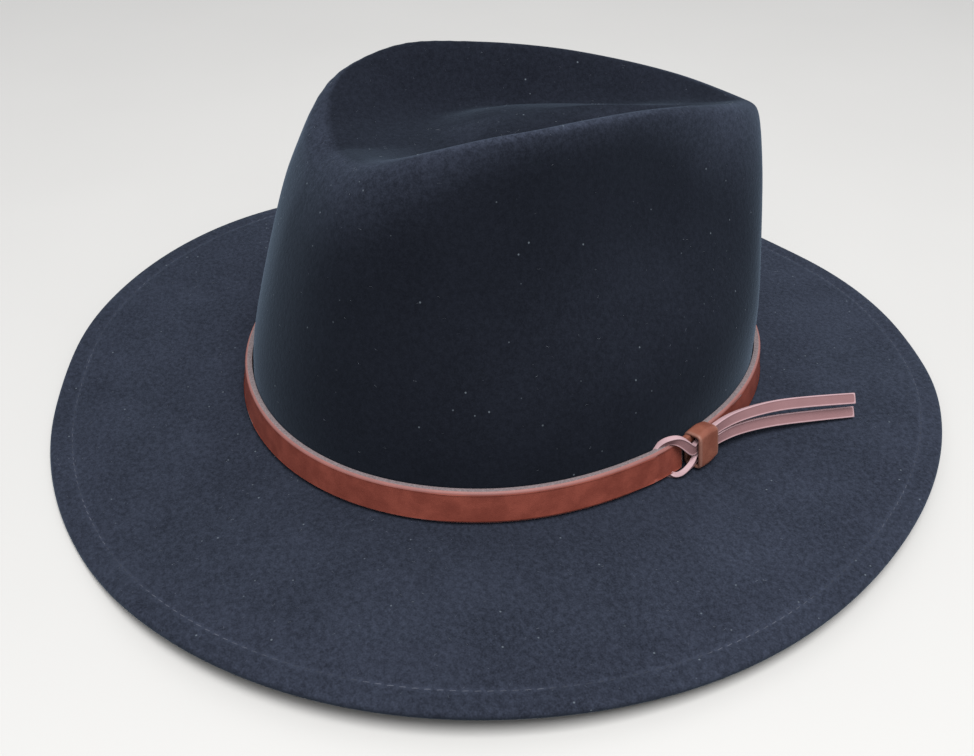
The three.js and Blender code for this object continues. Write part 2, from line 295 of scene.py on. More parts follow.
class Paint:
    """A procedural material under construction."""

    def __init__(self, name: str) -> None:
        """Starts an empty material."""
        self.material = bpy.data.materials.new(name)
        self.material.use_nodes = True
        self.tree = self.material.node_tree
        self.tree.nodes.clear()

    def node(self, kind: str, settings: dict, sockets: dict, output: object = 0) -> "Wire | None":
        """Adds a node.

        Args:
            kind: the node's type.
            settings: its own settings, which are set first.
            sockets: values or wires of its inputs, by name or number.
            output: name or number of the output that is wanted.

        Returns:
            The wanted output, or None where the node has none.
        """
        node = self.tree.nodes.new(kind)
        for key, value in settings.items():
            setattr(node, key, value)
        for key, value in sockets.items():
            socket = node.inputs[key]
            if isinstance(value, Wire):
                self.tree.links.new(value.socket, socket)
            elif socket.type == "RGBA":
                socket.default_value = (*value, 1)
            else:
                socket.default_value = value
        return Wire(self, node.outputs[output]) if node.outputs else None

    def place(self) -> Wire:
        """Object coordinates, in metres."""
        return self.node("ShaderNodeTexCoord", {}, {}, "Object")

    def noise(self, size: float, detail: float, roughness: float) -> Wire:
        """Noise from 0 to 1.

        Args:
            size: size of its features, in metres.
            detail: number of finer layers.
            roughness: strength of the finer layers.

        Returns:
            The value.
        """
        return self.node(
            "ShaderNodeTexNoise",
            {},
            {"Vector": self.place(), "Scale": 1 / size, "Detail": detail, "Roughness": roughness},
        )

    def cells(self, size: float, output: str = "Distance") -> Wire:
        """Distance to the nearest of scattered points, or the colour of its cell."""
        return self.node(
            "ShaderNodeTexVoronoi", {}, {"Vector": self.place(), "Scale": 1 / size}, output
        )

    def attribute(self, name: str) -> Wire:
        """A named value of the piece's corners."""
        return self.node("ShaderNodeAttribute", {"attribute_name": name}, {}, "Fac")

    def mix(self, share: object, first: object, second: object) -> Wire:
        """A colour between two colours."""
        return self.node(
            "ShaderNodeMix", {"data_type": "RGBA"}, {0: share, 6: first, 7: second}, 2
        )

    def bump(self, height: Wire, depth: float, below: Wire = None) -> Wire:
        """A normal from a height of a depth in metres, over another bump."""
        sockets = {"Height": height, "Distance": depth}
        if below:
            sockets["Normal"] = below
        return self.node("ShaderNodeBump", {}, sockets)

    def finish(self, sockets: dict) -> bpy.types.Material:
        """Adds the surface and the output.

        Args:
            sockets: values or wires of the surface's inputs.

        Returns:
            The finished material.
        """
        surface = self.node("ShaderNodeBsdfPrincipled", {}, sockets)
        self.node("ShaderNodeOutputMaterial", {}, {"Surface": surface})
        return self.material


Colour = tuple[float, float, float]


@dataclass(frozen=True)
class FeltFinish:
    """Navy black wool felt with a short nap, patches of wear and specks of lint, with light and shade
    painted in: lighter where it faces up and on the crown's shoulders and crest, darker on the walls.
    """

    deep: Colour = (0.0040, 0.0045, 0.0065)
    # The colour at full share: the upper sides, painted lighter as if lit from above, and wear.
    worn_and_painted_light: Colour = (0.0380, 0.0450, 0.0670)
    speck: Colour = (0.11, 0.13, 0.15)
    # The brightness kept on the walls and under the brim, as painted shade.
    shaded_wall_share: float = 0.17
    nap_size: float = 0.55 * MM
    tuft_size: float = 1.6 * MM
    patch_size: float = 26 * MM
    speck_spacing: float = 5 * MM
    nap_depth: float = 0.07 * MM
    tuft_depth: float = 0.14 * MM

    def material(self) -> bpy.types.Material:
        """The finished material."""
        paint = Paint("navy_felt")
        nap = paint.noise(self.nap_size, 3, 0.6)
        tufts = paint.noise(self.tuft_size, 2, 0.55)
        patches = paint.noise(self.patch_size, 3, 0.55)
        # Random tone of the nap, tufts and patches, scaled by the corners' painted light and wear
        # (painted shade on the walls, painted light on the upper sides); the pressed seam is lighter.
        worn_and_painted_light = nap.between(0.3, 0.75) * 0.3 + tufts.between(0.25, 0.8) * 0.3
        worn_and_painted_light = worn_and_painted_light + patches.between(0.3, 0.75) * 0.14 + 0.16
        worn_and_painted_light = worn_and_painted_light * (paint.attribute("faded") * (1 - self.shaded_wall_share) + self.shaded_wall_share)
        worn_and_painted_light = worn_and_painted_light + paint.attribute("pressed") * 0.16
        near = 1 - paint.cells(self.speck_spacing).between(0.035, 0.085)
        chosen = paint.cells(self.speck_spacing, "Color").between(0.5, 0.62)
        colour = paint.mix(worn_and_painted_light, self.deep, self.worn_and_painted_light)
        colour = paint.mix(near * chosen * 0.6, colour, self.speck)
        normal = paint.bump(tufts, self.tuft_depth)
        normal = paint.bump(nap, self.nap_depth, normal)
        return paint.finish(
            {
                "Base Color": colour,
                "Roughness": 0.96,
                "Specular IOR Level": 0,
                "Sheen Weight": 0.17,
                "Sheen Roughness": 0.4,
                "Sheen Tint": (0.42, 0.56, 0.74),
                "Normal": normal,
            }
        )


@dataclass(frozen=True)
class LeatherFinish:
    """Smooth dyed leather with a fine grain, darker creases and lighter bevelled edges."""

    name: str
    light: Colour
    dark: Colour
    crease: Colour
    rim: Colour
    roughness: float = 0.46
    grain_size: float = 0.45 * MM
    mottle_size: float = 9 * MM
    wrinkle_size: float = 2.2 * MM
    grain_depth: float = 0.02 * MM
    wrinkle_depth: float = 0.05 * MM

    def material(self) -> bpy.types.Material:
        """The finished material."""
        paint = Paint(self.name)
        mottle = paint.noise(self.mottle_size, 4, 0.6)
        fine = paint.noise(self.grain_size, 2, 0.6)
        grain = paint.cells(self.grain_size)
        wrinkle = paint.noise(self.wrinkle_size, 3, 0.6)
        shade = mottle.between(0.32, 0.7) * 0.75 + fine * 0.25
        colour = paint.mix(shade, self.dark, self.light)
        colour = paint.mix(paint.attribute("rim").between(0.3, 1) * 0.6, colour, self.rim)
        colour = paint.mix(paint.attribute("crease").between(0.1, 0.9) * 0.85, colour, self.crease)
        normal = paint.bump(wrinkle, self.wrinkle_depth)
        normal = paint.bump(grain, self.grain_depth, normal)
        return paint.finish(
            {
                "Base Color": colour,
                "Roughness": self.roughness + (fine - 0.5) * 0.3,
                "Specular IOR Level": 0.14,
                "Normal": normal,
            }
        )


@dataclass(frozen=True)
class CutEdgeFinish:
    """The raw cut edge of the leather, pale and fibrous."""

    pale: Colour = (0.19, 0.155, 0.160)
    dark: Colour = (0.11, 0.088, 0.092)
    fibre_size: float = 0.7 * MM
    fibre_depth: float = 0.12 * MM

    def material(self) -> bpy.types.Material:
        """The finished material."""
        paint = Paint("cut_leather")
        fibre = paint.noise(self.fibre_size, 4, 0.7)
        colour = paint.mix(fibre.between(0.3, 0.7), self.dark, self.pale)
        return paint.finish(
            {
                "Base Color": colour,
                "Roughness": 0.8,
                "Specular IOR Level": 0.1,
                "Normal": paint.bump(fibre, self.fibre_depth),
            }
        )


@dataclass(frozen=True)
class ThreadFinish:
    """Twisted thread or a single stray fibre, darkened in places."""

    name: str
    light: Colour
    dark: Colour
    ply_size: float = 0.25 * MM
    patch_size: float = 16 * MM
    ply_depth: float = 0.05 * MM

    def material(self) -> bpy.types.Material:
        """The finished material."""
        paint = Paint(self.name)
        ply = paint.noise(self.ply_size, 1, 0.5)
        kept = paint.noise(self.patch_size, 2, 0.5).between(0.4, 0.62)
        return paint.finish(
            {
                "Base Color": paint.mix(ply.between(0.2, 0.5) * kept, self.dark, self.light),
                "Roughness": 0.8,
                "Specular IOR Level": 0.1,
                "Normal": paint.bump(ply, self.ply_depth),
            }
        )


@dataclass(frozen=True)
class FloorFinish:
    """A plain pale floor with a trace of unevenness."""

    pale: Colour = (0.43, 0.425, 0.415)
    shade: Colour = (0.40, 0.395, 0.385)
    cloud_size: float = 180 * MM

    def material(self) -> bpy.types.Material:
        """The finished material."""
        paint = Paint("pale_floor")
        cloud = paint.noise(self.cloud_size, 3, 0.5)
        return paint.finish(
            {"Base Color": paint.mix(cloud, self.shade, self.pale), "Roughness": 0.7}
        )


FELT = FeltFinish()
STRAP_LEATHER = LeatherFinish(
    name="strap_leather",
    light=(0.205, 0.052, 0.036),
    dark=(0.125, 0.029, 0.020),
    crease=(0.070, 0.022, 0.018),
    rim=(0.23, 0.12, 0.115),
)
LACE_LEATHER = LeatherFinish(
    name="lace_leather",
    light=(0.325, 0.205, 0.218),
    dark=(0.25, 0.152, 0.162),
    crease=(0.17, 0.088, 0.092),
    rim=(0.36, 0.245, 0.262),
    mottle_size=6 * MM,
)
KEEPER_LEATHER = LeatherFinish(
    name="keeper_leather",
    light=(0.20, 0.075, 0.050),
    dark=(0.13, 0.042, 0.028),
    crease=(0.05, 0.018, 0.014),
    rim=(0.19, 0.10, 0.08),
    roughness=0.38,
)
SEAM_THREAD = ThreadFinish(
    name="seam_thread",
    light=(0.062, 0.068, 0.088),
    dark=(0.024, 0.028, 0.038),
)
LINT_FIBRE = ThreadFinish(
    name="lint_fibre",
    light=(0.17, 0.19, 0.22),
    dark=(0.09, 0.10, 0.12),
)


# The felt


class Outline:
    """The outline of the brim in plan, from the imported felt."""

    def __init__(self, node: str) -> None:
        """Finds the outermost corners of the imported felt, in order."""
        places = {(round(c.co.x, 7), round(c.co.y, 7)) for c in frame["nodes"][node].data.vertices}
        self.corners = [Vector(place) for place in self._hull(sorted(places))]

    @staticmethod
    def _hull(places: list[tuple[float, float]]) -> list[tuple[float, float]]:
        """The outermost of some places in plan, anticlockwise."""

        def chain(run: Iterable[tuple[float, float]]) -> list[tuple[float, float]]:
            """One side of the outline."""
            kept = []
            for place in run:
                while len(kept) > 1:
                    ahead = Vector(kept[-1]) - Vector(kept[-2])
                    if ahead.cross(Vector(place) - Vector(kept[-1])) > 0:
                        break
                    kept.pop()
                kept.append(place)
            return kept[:-1]

        return chain(places) + chain(reversed(places))

    def depth(self, place: Vector) -> float:
        """How far inside the outline a place is, in plan."""
        depths = []
        for index, corner in enumerate(self.corners):
            ahead = (corner - self.corners[index - 1]).normalized()
            depths.append(ahead.cross(place.xy - corner))
        return min(depths)

    def walk(self, inset: float, spacing: float) -> list[tuple[Vector, Vector]]:
        """Even steps along a line inside the outline.

        Args:
            inset: distance of the line from the outline.
            spacing: wanted length of a step.

        Returns:
            The middle and the direction of each step, in plan.
        """
        line = self.corners
        for _ in range(3):
            line = [
                corner.lerp(line[(index + 1) % len(line)], share)
                for index, corner in enumerate(line)
                for share in (0.25, 0.75)
            ]
        moved = []
        for index, corner in enumerate(line):
            ahead = (line[(index + 1) % len(line)] - line[index - 1]).normalized()
            moved.append(corner + inset * Vector((-ahead.y, ahead.x)))
        seam = Line([*moved, moved[0]])
        count = round(seam.length / spacing)
        steps = []
        for step in range(count):
            index, share = seam.find(seam.length * (step + 0.5) / count)
            start, end = seam.places[index], seam.places[index + 1]
            steps.append((start.lerp(end, share), (end - start).normalized()))
        return steps


def soft_step(values: np.ndarray, low: float, high: float) -> np.ndarray:
    """How far values are from low to high, from 0 to 1, with soft ends."""
    share = np.clip((values - low) / (high - low), 0, 1)
    return share * share * (3 - 2 * share)


@dataclass(frozen=True)
class PaintedLightAndWear:
    """How much painted light, with some wear, the felt gets, kept in an attribute of its corners.

    The brim's upper side is painted lightest, as if lit from above, with a painted shadow of the crown
    towards the rear and painted shade towards the crown's foot. The crown gets a painted highlight
    with some rubbing below its crest, most at the front and the rear, and a painted highlight line on
    the crest of the wearer's right; its dent and flared walls get a little painted light where they
    face up.
    """

    sectors: int = 72
    strap_span: tuple[float, float] = (12 * MM, 20 * MM)
    crown_span: tuple[float, float] = (20 * MM, 60 * MM)
    foot_span: tuple[float, float] = (85 * MM, 135 * MM)
    rear_span: tuple[float, float] = (-80 * MM, 60 * MM)
    ends_span: tuple[float, float] = (20 * MM, 80 * MM)
    crest_highlight_span: tuple[float, float] = (10 * MM, 35 * MM)
    # Painted shadow towards the rear and painted shade near the crown's foot; a painted highlight with
    # some rubbing on the shoulders; a painted highlight line on the crest; painted light on the dent's
    # floor and the flared walls.
    rear_painted_shadow: float = 0.2
    foot_painted_shade: float = 0.25
    crest_reach: float = 12 * MM
    crest_share: float = 0.72
    crest_highlight_reach: float = 1.4 * MM
    crest_highlight_share: float = 1.15
    dent_share: float = 0.1
    flare_share: float = 0.14

    def write(self, piece: bpy.types.Object) -> None:
        """Writes the attribute into the felt's corners."""
        places = np.array([corner.co for corner in piece.data.vertices])
        normals = np.array([corner.normal for corner in piece.data.vertices])
        faded = np.maximum(self._brim(places, normals), self._crown(places, normals))
        layer = piece.data.attributes.new("faded", "FLOAT", "POINT")
        layer.data.foreach_set("value", faded)

    def _brim(self, places: np.ndarray, normals: np.ndarray) -> np.ndarray:
        """The painted light of the brim's upper side and edge, with painted shade towards the rear and
        the crown's foot.
        """
        # Painted light on the upper side and edge, painted shade underneath, a painted shadow of the
        # crown towards the rear and painted shade near the crown's foot.
        upper = soft_step(normals[:, 2], -0.4, 0.5) * (1 - soft_step(places[:, 2], *self.strap_span))
        rearward = 1 - soft_step(-places[:, 1], *self.rear_span)
        inward = 1 - soft_step(np.hypot(places[:, 0], places[:, 1]), *self.foot_span)
        return upper * (1 - self.rear_painted_shadow * rearward) * (1 - self.foot_painted_shade * inward)

    def _crown(self, places: np.ndarray, normals: np.ndarray) -> np.ndarray:
        """The painted light of the crown's dent, flare, shoulders and crest, the shoulders partly from
        rubbing.
        """
        angle = np.arctan2(places[:, 1], places[:, 0])
        outward = normals[:, 0] * np.cos(angle) + normals[:, 1] * np.sin(angle)
        below = self._crest(angle, places[:, 2]) - places[:, 2]
        # Painted light where the dent's floor and the flared walls face up.
        dent = soft_step(normals[:, 2], 0.72, 1) * self.dent_share
        flare = soft_step(normals[:, 2], 0.3, 0.6) * self.flare_share
        ends = soft_step(np.abs(places[:, 1]), *self.ends_span)
        front = soft_step(-places[:, 1], *self.ends_span)
        reach = self.crest_reach * (0.5 + 0.9 * ends + 0.7 * front)
        # A painted highlight, with some rubbing, on the outer shoulder below the crest, reaching
        # further at the front and the rear.
        shoulder_wear_and_highlight = np.exp(-((below / reach) ** 2)) * soft_step(outward, -0.05, 0.35)
        shoulder_wear_and_highlight = shoulder_wear_and_highlight * self.crest_share * (0.7 + 0.5 * ends)
        # A painted highlight line along the crest on the wearer's right.
        line = np.exp(-((below / self.crest_highlight_reach) ** 2)) * soft_step(-places[:, 0], *self.crest_highlight_span)
        crown = np.maximum.reduce([dent, flare, shoulder_wear_and_highlight, line * self.crest_highlight_share])
        return crown * soft_step(places[:, 2], *self.crown_span)

    def _crest(self, angle: np.ndarray, height: np.ndarray) -> np.ndarray:
        """The height of the crown's crest in the direction of each corner."""
        sector = np.floor((angle / math.tau + 0.5) * self.sectors).astype(int) % self.sectors
        crest = np.zeros(self.sectors)
        np.maximum.at(crest, sector, height)
        middles = ((np.arange(self.sectors) + 0.5) / self.sectors - 0.5) * math.tau
        return np.interp(angle, middles, crest, period=math.tau)


@dataclass
class FeltHat:
    """The crown and brim, with the seam of its turned hem pressed into the felt."""

    outline: Outline
    hem_width: float = 8 * MM
    groove_width: float = 1.1 * MM
    groove_depth: float = 0.4 * MM
    seam_play: float = 0.5 * MM
    levels: int = 2

    def build(self) -> bpy.types.Object:
        """Builds and dresses the felt.

        Returns:
            The finished piece.
        """
        piece = solid_copy("felt_body", "felt")
        self._press_seam(piece)
        subdivide_smoothly(piece, self.levels)
        # Paints light and shade, with some wear, into the felt's corners.
        PaintedLightAndWear().write(piece)
        piece.data.materials.append(FELT.material())
        settle(piece, "felt", "felt_body")
        return piece

    def _press_seam(self, piece: bpy.types.Object) -> None:
        """Presses a groove into the upper side along the seam of the hem."""

        def on_seam(edge: bmesh.types.BMEdge) -> bool:
            """Whether an edge of the upper side runs along the seam."""
            return all(
                corner.normal.z > 0.5
                and abs(self.outline.depth(corner.co) - self.hem_width) < self.seam_play
                for corner in edge.verts
            )

        with Editing(piece) as edit:
            found = edit.select(Kind.EDGE, on_seam)
            log.info("felt: seam of %d edges", found)
            bpy.ops.mesh.bevel(offset=self.groove_width, segments=2, affect="EDGES")
            bpy.ops.mesh.select_mode(type="VERT")
            bpy.ops.mesh.select_less()
            bpy.ops.transform.translate(value=(0, 0, -self.groove_depth))
            edit.mark("pressed", 1)


class Surface:
    """The finished felt, for laying small things on it."""

    over_brim = 50 * MM
    over_crown = 200 * MM
    under_brim = -10 * MM

    def __init__(self, piece: bpy.types.Object) -> None:
        """Prepares the felt for being searched."""
        self.tree = BVHTree.FromPolygons(
            [corner.co for corner in piece.data.vertices],
            [tuple(face.vertices) for face in piece.data.polygons],
        )

    def below(self, place: Vector, height: float = over_brim) -> tuple[Vector, Vector]:
        """The felt under a place in plan: the place on it and its normal."""
        hit, normal, _, _ = self.tree.ray_cast(Vector((place.x, place.y, height)), -UP)
        return hit, normal

    def above(self, place: Vector) -> tuple[Vector, Vector]:
        """The underside of the felt over a place in plan, and its normal."""
        hit, normal, _, _ = self.tree.ray_cast(Vector((place.x, place.y, self.under_brim)), UP)
        return hit, normal


def laid(place: Vector, normal: Vector, ahead: Vector, sink: float) -> Matrix:
    """A matrix that lays a small thing on the felt.

    Args:
        place: the place on the felt.
        normal: the felt's normal there.
        ahead: the direction of the thing's length.
        sink: how deep it sinks into the felt.

    Returns:
        The matrix.
    """
    side = normal.cross(ahead).normalized()
    ahead = side.cross(normal).normalized()
    turned = Matrix((ahead, side, normal)).transposed().to_4x4()
    turned.translation = place - sink * normal
    return turned


@dataclass
class HemSeam:
    """The stitches that hold the turned hem, seen from above and from below."""

    outline: Outline
    felt: Surface
    inset: float = 8 * MM
    pitch: float = 3.4 * MM
    stitch_length: float = 2.9 * MM
    thread: float = 0.32 * MM
    slant: float = math.radians(5)
    sink: float = 0.1
    # How the ends dive: from which share of the half length, how many threads deep, and the girth.
    dives: tuple[tuple[float, float, float], ...] = ((0.99, 0.75, 0.45), (0.55, 0.22, 0.95))

    def _stitch(self) -> bpy.types.Object:
        """One stitch: a short thread whose ends dive into the felt."""
        bpy.ops.object.select_all(action="DESELECT")
        bpy.ops.mesh.primitive_cylinder_add(
            vertices=6,
            radius=self.thread / 2,
            depth=self.stitch_length,
            rotation=(0, math.pi / 2, 0),
        )
        stitch = bpy.context.object
        bpy.ops.object.transform_apply(location=False, rotation=True, scale=False)
        half = self.stitch_length / 2
        with Editing(stitch) as edit:
            edit.select(Kind.EDGE, lambda edge: abs(edge.verts[0].co.x - edge.verts[1].co.x) > half)
            bpy.ops.mesh.subdivide(number_cuts=4)
            for share, drop, girth in self.dives:
                edit.select(Kind.VERT, lambda corner: abs(corner.co.x) > share * half)
                bpy.ops.transform.resize(value=(1, girth, girth), center_override=(0, 0, 0))
                bpy.ops.transform.translate(value=(0, 0, -drop * self.thread))
        return stitch

    def build(self) -> list[bpy.types.Object]:
        """Builds and dresses both sides of the seam.

        Returns:
            The finished pieces.
        """
        steps = self.outline.walk(self.inset, self.pitch)
        material = SEAM_THREAD.material()
        sides = {"hem_stitches": self.felt.below, "hem_stitches_under": self.felt.above}
        pieces = []
        for name, reach in sides.items():
            places = []
            for middle, ahead in steps:
                place, normal = reach(middle)
                slanted = Matrix.Rotation(self.slant, 3, "Z") @ ahead.to_3d()
                places.append(laid(place, normal, slanted, self.sink * self.thread))
            piece = joined_copies(self._stitch(), places, name)
            piece.data.materials.append(material)
            settle(piece, "felt")
            pieces.append(piece)
        return pieces


# The band


@dataclass(frozen=True)
class Knot:
    """The frame of the knot: its middle and its three directions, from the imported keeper."""

    middle: Vector
    forward: Vector
    out: Vector
    up: Vector

    @classmethod
    def of(cls, node: str) -> "Knot":
        """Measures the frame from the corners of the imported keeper."""
        corners = [corner.co for corner in frame["nodes"][node].data.vertices]
        middle = sum(corners, Vector()) / len(corners)
        radial = Vector((middle.x, middle.y, 0)).normalized()

        def along(guess: Vector) -> Vector:
            """The keeper's own direction next to a guess."""
            ahead = [corner - middle for corner in corners if (corner - middle).dot(guess) > 0]
            return sum(ahead, Vector()).normalized()

        return cls(middle, along(UP.cross(radial)), along(radial), along(UP))

    def place(self, run: float, out: float, rise: float) -> Vector:
        """The place at distances along the three directions."""
        return self.middle + run * self.forward + out * self.out + rise * self.up

    def measure(self, place: Vector) -> Vector:
        """The distances of a place along the three directions."""
        away = place - self.middle
        return Vector((away.dot(self.forward), away.dot(self.out), away.dot(self.up)))

    def matrix(self) -> Matrix:
        """Turns x to forward, y to the crown and z to up, and moves to the middle."""
        turned = Matrix((self.forward, -self.out, self.up)).transposed().to_4x4()
        turned.translation = self.middle
        return turned


def new_block(name: str, size: Vector) -> bpy.types.Object:
    """A block about the origin, with its size applied."""
    bpy.ops.object.select_all(action="DESELECT")
    bpy.ops.mesh.primitive_cube_add(size=1)
    block = bpy.context.object
    block.name = name
    block.scale = size
    bpy.ops.object.transform_apply(location=False, rotation=False, scale=True)
    return block


def put(piece: bpy.types.Object, place: Matrix) -> None:
    """Moves a piece's mesh by a matrix and leaves the piece at the origin."""
    pick(piece)
    piece.matrix_world = place
    bpy.ops.object.transform_apply(location=True, rotation=True, scale=True)


@dataclass
class Strap:
    """The strap round the foot of the crown, with creased borders and raw cut edges."""

    knot: Knot
    rear_end: float = -9.4 * MM
    front_end: float = 3.5 * MM
    rim: float = 0.2 * MM
    border: float = 0.95 * MM
    crease_width: float = 0.3 * MM
    crease_depth: float = 0.25 * MM
    edge_slope: float = 0.7
    edge_lean: float = 0.25
    sharp: float = math.radians(25)
    knot_reach: float = 40 * MM
    rear_reach: float = 30 * MM
    front_reach: float = 6 * MM
    drawn: float = 25 * MM
    uncreased: float = 24 * MM
    play: float = 1 * MM
    step_clear: float = 0.35 * MM
    tall: float = 3 * MM

    def build(self) -> bpy.types.Object:
        """Builds and dresses the strap.

        Returns:
            The finished piece.
        """
        piece = solid_copy("hatband", "strap")
        with Editing(piece) as edit:
            self._reach_knot(piece, edit)
            edit.select(Kind.EDGE, lambda edge: edge.calc_face_angle(0) > self.sharp)
            bpy.ops.mesh.bevel(offset=self.rim, segments=2, affect="EDGES")
            edit.mark("rim", 1)
            edit.select(Kind.FACE, self._faces_out)
            bpy.ops.mesh.inset(thickness=self.border)
            edit.mark("rim", 0)
            bpy.ops.mesh.region_to_loop()
            bpy.ops.mesh.bevel(offset=self.crease_width, segments=2, affect="EDGES")
            bpy.ops.mesh.select_mode(type="VERT")
            bpy.ops.mesh.select_less()
            bpy.ops.transform.shrink_fatten(value=-self.crease_depth)
            edit.mark("crease", 1)
            edit.select(Kind.VERT, lambda corner: self._in_end(corner.co, -self.uncreased, 0))
            edit.mark("crease", 0)
        piece.data.materials.append(STRAP_LEATHER.material())
        piece.data.materials.append(CutEdgeFinish().material())
        for face in piece.data.polygons:
            face.material_index = int(self._is_cut(face))
        subdivide_smoothly(piece, 2)
        settle(piece, "leather", "hatband")
        return piece

    def _reach_knot(self, piece: bpy.types.Object, edit: Editing) -> None:
        """Draws both ends towards the keeper, the rear one at the strap's whole height."""
        places = [self.knot.measure(corner.co) for corner in piece.data.vertices]
        rear = [place for place in places if place.length < self.rear_reach and place.x < 0]
        end = max(place.x for place in rear)
        whole = max(place.z for place in rear)
        stepped = max(place.z for place in rear if place.x > end - self.play)

        def on_step(corner: bmesh.types.BMVert) -> bool:
            """Whether a corner belongs to the top of the step."""
            rise = self.knot.measure(corner.co).z
            return self._in_end(corner.co, -self.drawn, 0) and 0 < rise < stepped + self.play

        edit.select(Kind.VERT, on_step)
        bpy.ops.transform.translate(value=(whole - stepped - self.step_clear) * self.knot.up)
        edit.select(Kind.VERT, lambda corner: self._in_end(corner.co, end - self.play, 0))
        bpy.ops.transform.translate(value=(self.rear_end - end) * self.knot.forward)
        edit.select(Kind.VERT, lambda corner: self._in_end(corner.co, 0, self.front_reach))
        start = min(place.x for place in places if place.length < self.knot_reach and place.x > 0)
        bpy.ops.transform.translate(value=(self.front_end - start) * self.knot.forward)

    def _in_end(self, place: Vector, low: float, high: float) -> bool:
        """Whether a place lies between two distances forward, near the knot."""
        measured = self.knot.measure(place)
        return measured.length < self.knot_reach and low < measured.x < high

    def _is_cut(self, face: bpy.types.MeshPolygon) -> bool:
        """Whether a face belongs to the upper or lower cut edge, or to an end."""
        lean = self._outward(face.center).dot(face.normal)
        level = abs(face.normal.z) > self.edge_slope and lean < self.edge_lean
        return level or (abs(face.normal.z) < 0.3 and abs(lean) < 0.4)

    @staticmethod
    def _outward(place: Vector) -> Vector:
        """The level direction away from the hat's middle."""
        return Vector((place.x, place.y, 0)).normalized()

    def _faces_out(self, face: bmesh.types.BMFace) -> bool:
        """Whether a face belongs to the strap's outer side."""
        tall = max(edge.calc_length() for edge in face.edges) > self.tall
        return tall and face.normal.dot(self._outward(face.calc_center_median())) > 0.85


@dataclass
class Keeper:
    """The leather wrap of the knot, a short tube that narrows towards the tails."""

    knot: Knot
    length: float = 10.6 * MM
    depth: float = 7.3 * MM
    height: float = 14.2 * MM
    shift: float = -0.9 * MM
    corner: float = 2.1 * MM
    wall: float = 1.3 * MM
    mouth: float = 0.86
    rear: float = 0.93
    waist: float = 0.93
    rim: float = 0.45 * MM
    sharp: float = math.radians(50)
    belly: float = 1.04
    rounds: int = 2

    def build(self) -> bpy.types.Object:
        """Builds and dresses the keeper.

        Returns:
            The finished piece.
        """
        piece = new_block("keeper", Vector((self.length, self.depth, self.height)))
        half = self.length / 2
        with Editing(piece) as edit:
            edit.select(Kind.FACE, lambda face: abs(face.normal.x) > 0.9)
            bpy.ops.mesh.delete(type="ONLY_FACE")
            edit.select(Kind.EDGE, self._runs_along)
            bpy.ops.mesh.bevel(offset=self.corner, segments=4, affect="EDGES")
            edit.select(Kind.EDGE, self._runs_along)
            bpy.ops.mesh.subdivide(number_cuts=5)
            profile = ((-1, self.rear), (0, self.belly), (0.66, self.waist), (1, self.mouth))
            for share, factor in profile:
                edit.select(Kind.VERT, lambda corner: abs(corner.co.x - share * half) < 0.4 * MM)
                bpy.ops.transform.resize(value=(1, 1, factor), center_override=(0, 0, 0))
        pick(piece)
        shell = piece.modifiers.new("shell", "SOLIDIFY")
        shell.thickness = self.wall
        shell.offset = -1
        bpy.ops.object.modifier_apply(modifier=shell.name)
        with Editing(piece) as edit:
            edit.select(Kind.EDGE, lambda edge: edge.calc_face_angle(0) > self.sharp)
            bpy.ops.mesh.bevel(offset=self.rim, segments=2, affect="EDGES")
            edit.mark("rim", 1)
        put(piece, self.knot.matrix() @ Matrix.Translation((self.shift, 0, 0)))
        piece.data.materials.append(KEEPER_LEATHER.material())
        subdivide_smoothly(piece, self.rounds)
        settle(piece, "leather", "band_keeper")
        return piece

    @staticmethod
    def _runs_along(edge: bmesh.types.BMEdge) -> bool:
        """Whether an edge runs along the keeper."""
        return abs(edge.verts[0].co.x - edge.verts[1].co.x) > 5 * MM


@dataclass
class StrapTip:
    """The end of the strap's leather that shows at the keeper's rear mouth."""

    knot: Knot
    size: Vector = Vector((7 * MM, 2.2 * MM, 3.0 * MM))
    run: float = -7.0 * MM
    out: float = -1.9 * MM
    rise: float = 4.3 * MM
    tilt: float = math.radians(5)
    rim: float = 0.45 * MM

    def build(self) -> bpy.types.Object:
        """Builds and dresses the tip.

        Returns:
            The finished piece.
        """
        piece = new_block("strap_tip", self.size)
        with Editing(piece):
            bpy.ops.mesh.select_all(action="SELECT")
            bpy.ops.mesh.bevel(offset=self.rim, segments=2, affect="EDGES")
        turned = Matrix.Translation((self.run, -self.out, self.rise))
        turned = turned @ Matrix.Rotation(self.tilt, 4, "Y")
        put(piece, self.knot.matrix() @ turned)
        piece.data.materials.append(KEEPER_LEATHER.material())
        subdivide_smoothly(piece, 2)
        settle(piece, "leather")
        return piece


Row = tuple[float, float, float, float]

